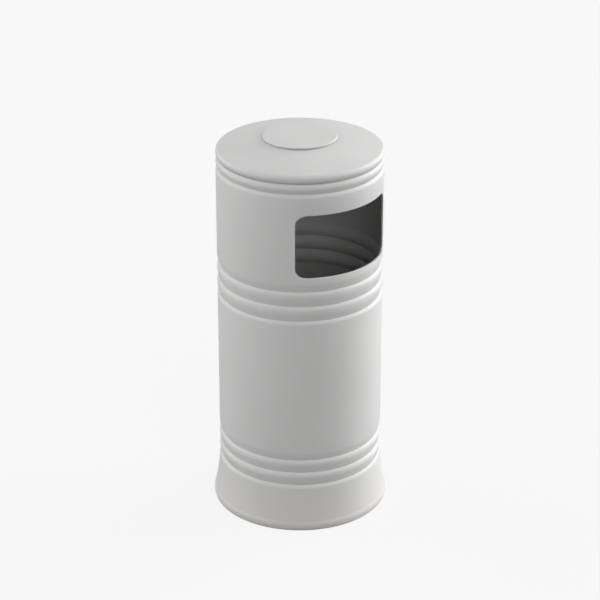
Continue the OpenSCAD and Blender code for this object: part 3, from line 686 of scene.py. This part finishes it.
def add_keeper_pad(lid):
    """Joins on the block behind the locating ring that the latch's keeper is screwed to."""
    keeper_low, keeper_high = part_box("lid_keeper")
    margin, height, keeper_t = 0.001, 0.033, 0.003
    pad = block("keeper_pad", (keeper_low.x - margin, -RING_R, LID_LOW.z),
                (keeper_high.x + margin, keeper_high.y - keeper_t, LID_LOW.z + height))
    limit = cylinder("ring_inside", RING_R - margin, (0, 0, LID_LOW.z - margin), (0, 0, LID_HIGH.z), AROUND)
    merged_with(pad, limit, "INTERSECT")
    merged_with(lid, pad, "UNION")


def cut_nut_pocket(lid):
    """Clears the inside of the lid's rear wall for the nuts of the hinge's leaf."""
    nuts_low, nuts_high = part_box("leaf_nuts")
    room = 0.0018
    pocket = block("nut_pocket", (nuts_low.x - room, RING_R + room, nuts_low.z - room),
                   (nuts_high.x + room, nuts_high.y + 0.0001, nuts_high.z + room))
    merged_with(lid, pocket, "DIFFERENCE")


def make_lid(plastic):
    """The domed lid, with the locating ring that hangs inside the shell's rim."""
    lid = turned("lid_moulding", lid_outline())
    add_keeper_pad(lid)
    cut_nut_pocket(lid)
    smoothed(lid)
    finished(lid, "lid", plastic, "shell_plastic", "lid")


def make_crown(plastic):
    """The raised disc on top of the dome."""
    crown = turned("crown_disc_moulding", crown_outline())
    finished(crown, "lid", plastic, "shell_plastic", "crown_disc")


def make_liner(zinc):
    """The lift-out bucket, with drain holes in its bottom."""
    liner = turned("liner_bucket", liner_outline(), smooth_angle=40)
    circle = (LINER_R - LINER_TAPER) / 2
    for x, y in ((0, 0), (circle, 0), (-circle, 0), (0, circle), (0, -circle)):
        drain = cylinder("drain", 0.006, (x, y, LINER_LOW.z - 0.002), (x, y, LINER_LOW.z + 0.004))
        merged_with(liner, drain, "DIFFERENCE")
    smoothed(liner, 40)
    finished(liner, "liner", zinc, "galvanised_steel", "liner")


def make_seal(rubber):
    """The rubber seal around the lid's locating ring."""
    seal = turned("rim_seal_lips", seal_outline())
    finished(seal, "lid", rubber, "rubber", "rim_seal")


def make_grip(plastic):
    """The grip is turned straight, laid along X, then bent to the bow."""
    grip = turned("bail_grip_sleeve", grip_outline(), steps=40)
    grip.rotation_euler = (0, math.pi / 2, 0)
    place_in_mesh(grip)
    bend = grip.modifiers.new("bow", "SIMPLE_DEFORM")
    bend.deform_method = "BEND"
    bend.deform_axis = "Z"
    bend.angle = -GRIP_ANGLE
    apply_modifier(grip, bend)
    grip.location = (0, BAIL_R, BAIL_Z)
    place_in_mesh(grip)
    smoothed(grip, 40)
    finished(grip, "bail", plastic, "grip_plastic", "bail_grip")


def softened(node, body, material, slot, edge=0.0004, sharp=35):
    """Stands for a CAD node with the same shape, its sharp edges rounded as on real metal."""
    mesh = frame["nodes"][node].data.copy()
    piece = bpy.data.objects.new(f"{node}_finished", mesh)
    mesh.name = piece.name
    bpy.context.scene.collection.objects.link(piece)
    edit(piece)
    bpy.ops.mesh.select_all(action="SELECT")
    bpy.ops.mesh.remove_doubles(threshold=2e-6)
    bpy.ops.mesh.dissolve_limited(angle_limit=math.radians(0.8))
    bpy.ops.object.mode_set(mode="OBJECT")
    round_off = piece.modifiers.new("edges", "BEVEL")
    round_off.width = edge
    round_off.segments = 2
    round_off.limit_method = "ANGLE"
    round_off.angle_limit = math.radians(sharp)
    apply_modifier(piece, round_off)
    smoothed(piece, 30)
    finished(piece, body, material, slot, node)


def make_hardware(finishes, modelled):
    """Every CAD node that isn't modelled anew keeps its shape, with softened edges."""
    slots = {s["node"]: s["material_slot"] for s in frame["record"]["subparts"]}
    for body, nodes in frame["record"]["behaviour"]["bodies"].items():
        for node in nodes:
            if node not in modelled:
                softened(node, body, finishes[slots[node]], slots[node])


# ---- studio ----------------------------------------------------------------

CAMERA_AZIMUTH, CAMERA_ELEVATION = math.radians(-38.05), math.radians(24.68)
CAMERA_DISTANCE = 6.019
AIM = Vector((0, 0, 0.6005))


def towards(azimuth, elevation):
    """Unit vector from the bin towards a direction; azimuth 0 is the front."""
    return Vector((math.sin(azimuth) * math.cos(elevation), -math.cos(azimuth) * math.cos(elevation),
                   math.sin(elevation)))


def make_camera():
    """A long lens, to the left of the front and above the bin."""
    data = bpy.data.cameras.new("camera")
    camera = bpy.data.objects.new("camera", data)
    bpy.context.scene.collection.objects.link(camera)
    back = towards(CAMERA_AZIMUTH, CAMERA_ELEVATION)
    camera.location = AIM + back * CAMERA_DISTANCE
    camera.rotation_euler = (-back).to_track_quat("-Z", "Y").to_euler()
    data.sensor_width, data.lens = 36, 129.0
    data.clip_end = 100
    bpy.context.scene.camera = camera


def make_floor():
    """A wide round floor at the ground."""
    deselect_all()
    bpy.ops.mesh.primitive_circle_add(vertices=96, radius=60, fill_type="NGON", location=(0, 0, 0))
    floor = added("studio_floor")
    floor.data.materials.append(floor_material())


def lobe(tree, direction, azimuth, elevation, power, strength):
    """Soft light from one side of the studio."""
    dot = add(tree, "ShaderNodeVectorMath", operation="DOT_PRODUCT")
    tree.links.new(direction, dot.inputs[0])
    dot.inputs[1].default_value = towards(math.radians(azimuth), math.radians(elevation))
    clamped = add(tree, "ShaderNodeMath", operation="MAXIMUM")
    tree.links.new(dot.outputs["Value"], clamped.inputs[0])
    clamped.inputs[1].default_value = 0
    shaped = add(tree, "ShaderNodeMath", operation="POWER")
    tree.links.new(clamped.outputs["Value"], shaped.inputs[0])
    shaped.inputs[1].default_value = power
    scaled = add(tree, "ShaderNodeMath", operation="MULTIPLY")
    tree.links.new(shaped.outputs["Value"], scaled.inputs[0])
    scaled.inputs[1].default_value = strength
    return scaled.outputs["Value"]


LIGHTS = (
    # azimuth, elevation, power, strength
    (-18, 20, 12, 2.15),      # front fill
    (-18, 70, 12, 2.35),      # overhead key
    (140, 45, 12, 0.5),       # back light on the lid
    (77, 10, 12, 12.3),       # rim from the right
    (-108, 10, 12, 3.0),      # rims from the left
    (-153, 10, 12, 5.3),
)


def make_light():
    """Soft light from the whole studio, as the sum of the lobes in LIGHTS."""
    world = bpy.data.worlds.new("soft_studio")
    bpy.context.scene.world = world
    world.use_nodes = True
    tree = world.node_tree
    place = add(tree, "ShaderNodeTexCoord").outputs["Generated"]
    total = lobe(tree, place, *LIGHTS[0])
    for light in LIGHTS[1:]:
        joined = add(tree, "ShaderNodeMath", operation="ADD")
        tree.links.new(lobe(tree, place, *light), joined.inputs[0])
        tree.links.new(total, joined.inputs[1])
        total = joined.outputs["Value"]
    tree.links.new(total, tree.nodes["Background"].inputs["Strength"])
    tree.nodes["Background"].inputs["Color"].default_value = (1, 1, 1, 1)
    bpy.context.scene.view_settings.view_transform = "Standard"


# ---- build -----------------------------------------------------------------

make_camera()
make_floor()
make_light()

finishes = {
    "shell_plastic": shell_plastic(),
    "galvanised_steel": galvanised_steel(),
    "stainless_steel": brushed("stainless_steel", (0.62, 0.62, 0.63), 0.26, 0.40),
    "rubber": dark_plain("rubber", (0.020, 0.020, 0.022), 0.0009, 0.70, 0.85, 0.00008),
    "grip_plastic": dark_plain("grip_plastic", (0.030, 0.030, 0.033), 0.0012, 0.42, 0.58, 0.00006),
}
# The inside of the shell gets a darker copy of the plastic, as painted shade.
make_shell(finishes["shell_plastic"], shell_plastic("shell_plastic_painted_shade", 0.85))
make_lid(finishes["shell_plastic"])
make_crown(finishes["shell_plastic"])
make_liner(finishes["galvanised_steel"])
make_seal(finishes["rubber"])
make_grip(finishes["grip_plastic"])
make_hardware(finishes, {"body_shell", "lid", "crown_disc", "liner", "rim_seal", "bail_grip"})
